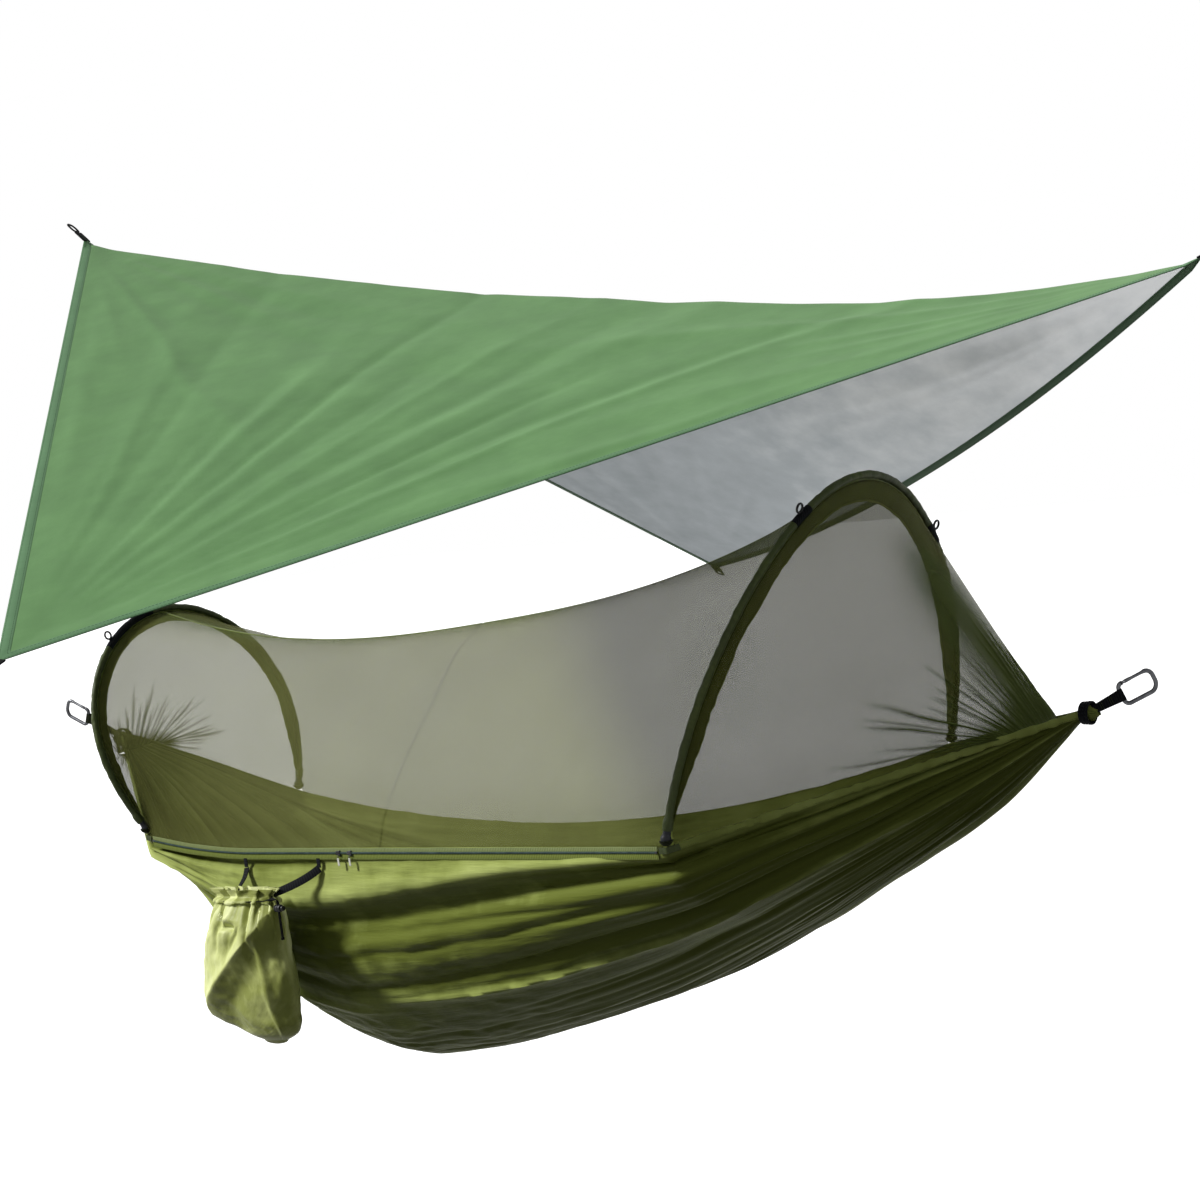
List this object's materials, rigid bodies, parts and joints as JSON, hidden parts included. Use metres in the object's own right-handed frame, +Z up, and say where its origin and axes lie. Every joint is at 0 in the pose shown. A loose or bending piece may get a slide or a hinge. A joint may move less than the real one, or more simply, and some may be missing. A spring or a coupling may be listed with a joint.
{
  "type": "hammock_tent",
  "caption": "Gathered-end hammock closed by a mosquito net on folding hoops, with a side zip, a hanging drawcord pouch, end carabiners and a ridge-folded rain fly above.",
  "frame": {"origin": "Inside the head end's carabiner, where a tree strap bears on it, 2.84 m from the same point of the foot end's carabiner.", "axes": "+X runs from the foot end to the head end, +Z is up, and the near side with the zip and the pouch is at -Y."},
  "size_m": [3.0325, 2.9507, 1.8639],
  "materials": {
    "bed_fabric": "ripstop-like nylon taffeta, semi-matt",
    "cap_plastic": "moulded dark grey plastic",
    "carabiner_metal": "anodised gunmetal grey",
    "cord": "braided black cord",
    "cup_webbing": "folded webbing pocket",
    "ferrule_metal": "plain drawn tube",
    "fly_fabric": "coated polyester, green outside and silver underneath",
    "fly_hem": "folded and stitched hem",
    "lock_plastic": "moulded black plastic",
    "net": "fine olive grey mosquito mesh",
    "pin_metal": "plain steel pin",
    "pouch_fabric": "light olive nylon taffeta",
    "pull_webbing": "white cord pull",
    "ring_plastic": "moulded black plastic",
    "rod": "black fibreglass rod",
    "sleeve_fabric": "dark olive binding and sleeve",
    "strap_webbing": "woven black webbing",
    "wrap_webbing": "woven black binding",
    "zip_chain": "moulded coil zip",
    "zip_metal": "black enamelled zinc",
    "zip_tape": "woven pale green zip tape"
  },
  "bodies": {
    "hammock": {"fly_hem": "fly_hem", "fly_panel": "fly_fabric", "fly_tab_far": "strap_webbing", "fly_tab_foot": "strap_webbing", "fly_tab_head": "strap_webbing", "fly_tab_near": "strap_webbing", "foot_cup_far": "cup_webbing", "foot_cup_near": "cup_webbing", "foot_end_net": "net", "foot_gather_wrap": "wrap_webbing", "foot_mid_net": "net", "foot_strap": "strap_webbing", "hammock_bed": "bed_fabric", "head_cup_far": "cup_webbing", "head_cup_near": "cup_webbing", "head_end_net": "net", "head_gather_wrap": "wrap_webbing", "head_mid_net": "net", "head_strap": "strap_webbing", "pouch_tab_foot": "strap_webbing", "pouch_tab_head": "strap_webbing", "zip_chain": "zip_chain", "zip_stop_foot": "zip_metal", "zip_stop_head": "zip_metal", "zip_tape": "zip_tape"},
    "head_hoop": {"head_rod_near": "rod", "head_rod_top": "rod", "head_rod_far": "rod", "head_ferrule_near": "ferrule_metal", "head_ferrule_far": "ferrule_metal", "head_cap_near": "cap_plastic", "head_cap_far": "cap_plastic", "head_hoop_sleeve": "sleeve_fabric", "head_guy_ring_near": "ring_plastic", "head_guy_ring_far": "ring_plastic"},
    "foot_hoop": {"foot_rod_near": "rod", "foot_rod_far": "rod", "foot_ferrule_top": "ferrule_metal", "foot_cap_near": "cap_plastic", "foot_cap_far": "cap_plastic", "foot_hoop_sleeve": "sleeve_fabric", "foot_guy_ring": "ring_plastic"},
    "head_carabiner_body": {"head_carabiner": "carabiner_metal", "head_gate_pin": "pin_metal"},
    "foot_carabiner_body": {"foot_carabiner": "carabiner_metal", "foot_gate_pin": "pin_metal"},
    "head_gate_body": {"head_gate": "carabiner_metal"},
    "foot_gate_body": {"foot_gate": "carabiner_metal"},
    "slider_head": {"zip_slider_head": "zip_metal"},
    "slider_foot": {"zip_slider_foot": "zip_metal"},
    "pull_head": {"zip_pull_head": "pull_webbing"},
    "pull_foot": {"zip_pull_foot": "pull_webbing"},
    "pouch": {"pouch_bag": "pouch_fabric", "pouch_strap_foot": "strap_webbing", "pouch_strap_head": "strap_webbing", "pouch_drawcord": "cord"},
    "cord_lock": {"cord_lock_body": "lock_plastic"},
    "lock_button": {"cord_lock_button": "lock_plastic"}
  },
  "joints": [
    {"name": "head_hoop_fold", "type": "hinge", "parent": "hammock", "child": "head_hoop", "pos_m": [-0.72235, 0, -0.17939], "axis": [0, -1, 0], "range_deg": [0, 60], "deforming": ["head_mid_net", "head_end_net"]},
    {"name": "foot_hoop_fold", "type": "hinge", "parent": "hammock", "child": "foot_hoop", "pos_m": [-2.35535, 0, -0.21743], "axis": [0, 1, 0], "range_deg": [0, 60], "deforming": ["foot_mid_net", "foot_end_net"]},
    {"name": "head_carabiner_swing", "type": "hinge", "parent": "hammock", "child": "head_carabiner_body", "pos_m": [-0.06259, 0, -0.02657], "axis": [-0.3907, 0, 0.9205], "range_deg": [-25, 25]},
    {"name": "foot_carabiner_swing", "type": "hinge", "parent": "hammock", "child": "foot_carabiner_body", "pos_m": [-2.77644, 0, -0.0086], "axis": [0.3907, 0, 0.9205], "range_deg": [-25, 25]},
    {"name": "head_gate_open", "type": "hinge", "parent": "head_carabiner_body", "child": "head_gate_body", "pos_m": [-0.05345, 0, -0.00205], "axis": [0, 1, 0], "range_deg": [0, 25], "stiffness_Nm_per_rad": 0.05, "springref_deg": -17.19},
    {"name": "foot_gate_open", "type": "hinge", "parent": "foot_carabiner_body", "child": "foot_gate_body", "pos_m": [-2.78559, 0, 0.01593], "axis": [0, -1, 0], "range_deg": [0, 25], "stiffness_Nm_per_rad": 0.05, "springref_deg": -17.19},
    {"name": "zip_slide_head", "type": "slide", "parent": "hammock", "child": "slider_head", "axis": [0.988, -0.1482, 0.0436], "range_m": [0, 0.883]},
    {"name": "zip_slide_foot", "type": "slide", "parent": "hammock", "child": "slider_foot", "axis": [0.988, -0.1482, 0.0436], "range_m": [-0.319, 0]},
    {"name": "zip_pull_head_flip", "type": "hinge", "parent": "slider_head", "child": "pull_head", "pos_m": [-1.63345, -0.35377, -0.24969], "axis": [-0.988, 0.1482, -0.0436], "range_deg": [0, 60]},
    {"name": "zip_pull_foot_flip", "type": "hinge", "parent": "slider_foot", "child": "pull_foot", "pos_m": [-1.67045, -0.34822, -0.25132], "axis": [-0.988, 0.1482, -0.0436], "range_deg": [0, 60]},
    {"name": "pouch_swing", "type": "hinge", "parent": "hammock", "child": "pouch", "pos_m": [-1.94388, -0.30284, -0.28508], "axis": [-0.988, 0.1482, -0.0436], "range_deg": [0, 35]},
    {"name": "cord_lock_slide", "type": "slide", "parent": "pouch", "child": "cord_lock", "axis": [0, 0, -1], "range_m": [0, 0.045]},
    {"name": "lock_button_press", "type": "slide", "parent": "cord_lock", "child": "lock_button", "axis": [-0.988, 0.1482, -0.0436], "range_m": [0, 0.003], "stiffness_N_per_m": 150, "springref_m": -0.002}
  ]
}
